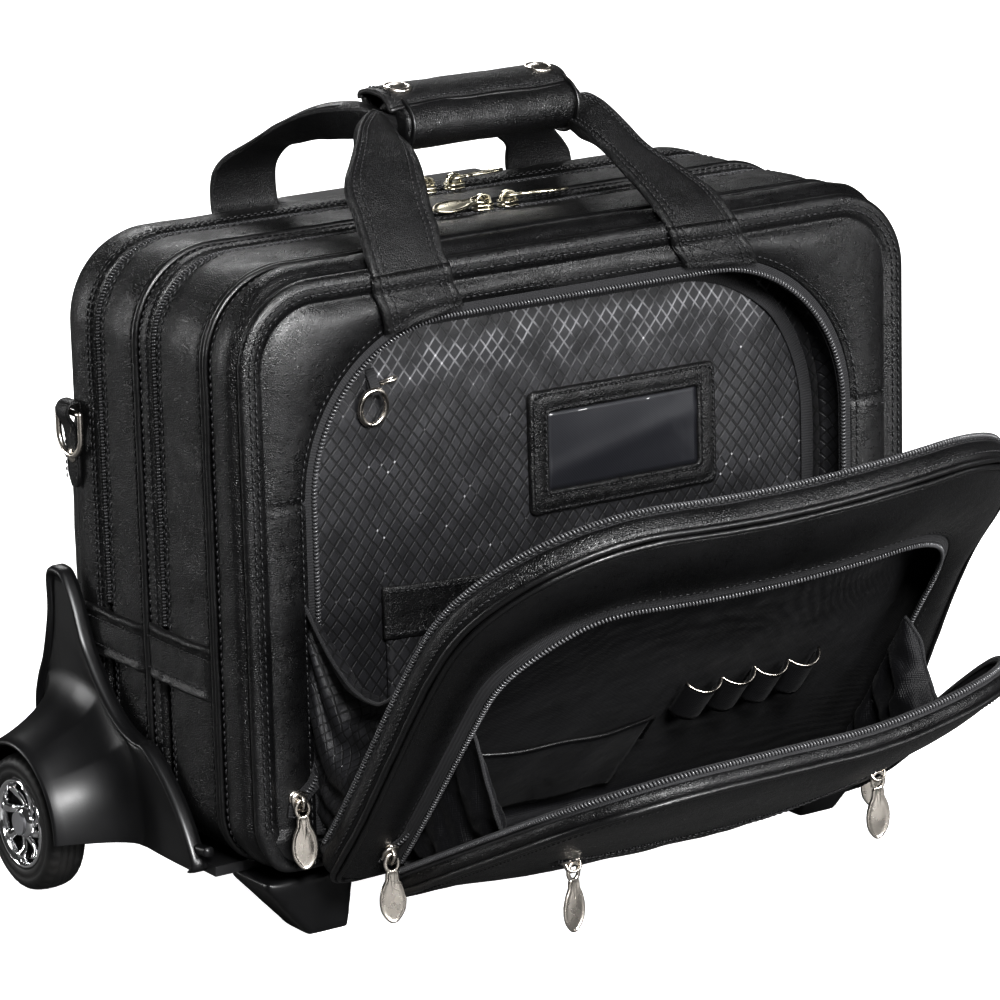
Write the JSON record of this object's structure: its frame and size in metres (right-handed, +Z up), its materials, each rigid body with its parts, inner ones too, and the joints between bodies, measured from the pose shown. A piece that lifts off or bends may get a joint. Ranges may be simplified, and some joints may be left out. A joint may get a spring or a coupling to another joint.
{
  "type": "rolling laptop case",
  "caption": "Wheeled black leather laptop case with an open front organizer behind nested fold-down flaps, telescoping trolley handle and padded carry handle.",
  "frame": {"origin": "on the floor (z = 0, where the feet and tyres stand) at the centre of the whole object's width and depth, with wheels, case and open flaps counted", "axes": "+Z up, front with the fold-down flaps towards -Y, +X to the right seen from the front"},
  "size_m": [0.524, 0.4472, 0.4287],
  "materials": {
    "black_leather": "fine pebble grain with a satin sheen",
    "ripstop_lining": "diamond ripstop weave",
    "zip_tape": "woven tape with black coil teeth",
    "board": "stiff board with fabric facing",
    "moulded_plastic": "satin moulded",
    "tyre_rubber": "matte",
    "bright_chrome": "polished",
    "satin_nickel": "satin nickel plate",
    "pewter_metal": "warm pewter plate",
    "steel": "plain",
    "tube_aluminium": "anodised",
    "clear_vinyl": "glossy clear sheet"
  },
  "bodies": {
    "case": {"rear_cover": "black_leather", "rear_gusset": "black_leather", "middle_gusset": "black_leather", "middle_shell": "black_leather", "body_zips": "zip_tape", "stiffener_boards": "board", "welts": "black_leather", "front_shell": "black_leather", "organizer_lining": "ripstop_lining", "front_zip": "zip_tape", "window_frame": "black_leather", "vinyl_window": "clear_vinyl", "organizer_pocket": "ripstop_lining", "key_ring": "satin_nickel", "laptop_sleeve": "ripstop_lining", "side_bands": "black_leather", "ring_tabs": "black_leather", "base_tray": "moulded_plastic", "wing_left": "moulded_plastic", "wing_right": "moulded_plastic", "axles": "steel", "back_panel": "black_leather", "outer_tubes": "tube_aluminium", "front_feet": "moulded_plastic", "front_straps": "black_leather", "rear_straps": "black_leather", "front_sliders": "satin_nickel"},
    "wheel_left": {"tyre_left": "tyre_rubber", "hub_left": "bright_chrome"},
    "wheel_right": {"tyre_right": "tyre_rubber", "hub_right": "bright_chrome"},
    "handle_mid": {"mid_tubes": "tube_aluminium"},
    "handle_inner": {"inner_tubes": "tube_aluminium", "trolley_grip": "moulded_plastic", "button_spring": "steel"},
    "button": {"release_button": "moulded_plastic", "lock_rods": "steel"},
    "ring_left": {"d_ring_left": "satin_nickel"},
    "ring_right": {"d_ring_right": "satin_nickel"},
    "carry_grip": {"grip_pad": "black_leather"},
    "carry_wrap": {"grip_wrap": "black_leather", "snap_caps": "satin_nickel"},
    "flap_1": {"flap_1_shell": "black_leather", "flap_1_lining": "ripstop_lining", "flap_1_zip": "zip_tape", "flap_1_pockets": "ripstop_lining", "flap_sliders": "satin_nickel"},
    "flap_2": {"flap_2_shell": "black_leather", "flap_2_lining": "ripstop_lining", "flap_2_zip": "zip_tape"},
    "zip_pull_front_left": {"pull_front_left": "satin_nickel"},
    "zip_pull_front_right": {"pull_front_right": "satin_nickel"},
    "zip_pull_flap_left": {"pull_flap_left": "satin_nickel"},
    "zip_pull_flap_right": {"pull_flap_right": "satin_nickel"},
    "zip_slider_rear_left": {"slider_rear_left": "pewter_metal"},
    "zip_slider_rear_right": {"slider_rear_right": "pewter_metal"},
    "zip_slider_middle_left": {"slider_middle_left": "pewter_metal"},
    "zip_slider_middle_right": {"slider_middle_right": "pewter_metal"},
    "zip_slider_pocket_left": {"slider_pocket_left": "pewter_metal"},
    "zip_slider_pocket_right": {"slider_pocket_right": "pewter_metal"}
  },
  "joints": [
    {"name": "carry_grip_drop", "type": "slide", "parent": "case", "child": "carry_grip", "axis": [0, 0, 1], "range_m": [-0.026, 0], "stiffness_N_per_m": 60, "deforming": ["front_straps", "rear_straps"]},
    {"name": "carry_wrap_open", "type": "hinge", "parent": "carry_grip", "child": "carry_wrap", "pos_m": [0, 0.12047, 0.4205], "axis": [1, 0, 0], "range_deg": [-120, 0]},
    {"name": "d_ring_left_swing", "type": "hinge", "parent": "case", "child": "ring_left", "pos_m": [-0.2185, 0.17397, 0.262], "axis": [0, 1, 0], "range_deg": [0, 110]},
    {"name": "d_ring_right_swing", "type": "hinge", "parent": "case", "child": "ring_right", "pos_m": [0.2185, 0.17397, 0.262], "axis": [0, 1, 0], "range_deg": [-110, 0]},
    {"name": "flap_1_open", "type": "hinge", "parent": "case", "child": "flap_1", "pos_m": [0, 0.00198, 0.0515], "axis": [1, 0, 0], "range_deg": [-42, 8], "stiffness_Nm_per_rad": 12},
    {"name": "flap_2_open", "type": "hinge", "parent": "flap_1", "child": "flap_2", "pos_m": [0, -0.02062, 0.04192], "axis": [1, 0, 0], "range_deg": [-22, 12], "stiffness_Nm_per_rad": 8},
    {"name": "handle_lower_stage", "type": "slide", "parent": "case", "child": "handle_mid", "axis": [0, 0, 1], "range_m": [0, 0.24]},
    {"name": "handle_upper_stage", "type": "slide", "parent": "handle_mid", "child": "handle_inner", "axis": [0, 0, 1], "range_m": [0, 0.24]},
    {"name": "release_button_press", "type": "slide", "parent": "handle_inner", "child": "button", "axis": [0, 0, 1], "range_m": [-0.0035, 0], "stiffness_N_per_m": 400, "deforming": ["button_spring"]},
    {"name": "wheel_left_spin", "type": "hinge", "parent": "case", "child": "wheel_left", "pos_m": [-0.248, 0.17797, 0.038], "axis": [1, 0, 0], "continuous": true},
    {"name": "wheel_right_spin", "type": "hinge", "parent": "case", "child": "wheel_right", "pos_m": [0.248, 0.17797, 0.038], "axis": [1, 0, 0], "continuous": true},
    {"name": "zip_front_left_pull_swing", "type": "hinge", "parent": "case", "child": "zip_pull_front_left", "pos_m": [-0.1884, -0.00103, 0.082], "axis": [1, 0, 0], "range_deg": [-100, 0]},
    {"name": "zip_front_right_pull_swing", "type": "hinge", "parent": "case", "child": "zip_pull_front_right", "pos_m": [0.1884, -0.00103, 0.082], "axis": [1, 0, 0], "range_deg": [-100, 0]},
    {"name": "zip_flap_left_pull_swing", "type": "hinge", "parent": "flap_1", "child": "zip_pull_flap_left", "pos_m": [-0.1568, -0.03816, 0.05573], "axis": [1, 0, 0], "range_deg": [-62, 38]},
    {"name": "zip_flap_right_pull_swing", "type": "hinge", "parent": "flap_1", "child": "zip_pull_flap_right", "pos_m": [0.1568, -0.03816, 0.05573], "axis": [1, 0, 0], "range_deg": [-62, 38]},
    {"name": "zip_rear_left_slide", "type": "slide", "parent": "case", "child": "zip_slider_rear_left", "axis": [1, 0, 0], "range_m": [-0.125, 0.004]},
    {"name": "zip_rear_right_slide", "type": "slide", "parent": "case", "child": "zip_slider_rear_right", "axis": [1, 0, 0], "range_m": [-0.004, 0.12]},
    {"name": "zip_middle_left_slide", "type": "slide", "parent": "case", "child": "zip_slider_middle_left", "axis": [1, 0, 0], "range_m": [-0.125, 0.004]},
    {"name": "zip_middle_right_slide", "type": "slide", "parent": "case", "child": "zip_slider_middle_right", "axis": [1, 0, 0], "range_m": [-0.004, 0.12]},
    {"name": "zip_pocket_left_slide", "type": "slide", "parent": "flap_2", "child": "zip_slider_pocket_left", "axis": [1, 0, 0], "range_m": [-0.004, 0.09]},
    {"name": "zip_pocket_right_slide", "type": "slide", "parent": "flap_2", "child": "zip_slider_pocket_right", "axis": [1, 0, 0], "range_m": [-0.09, 0.004]}
  ]
}
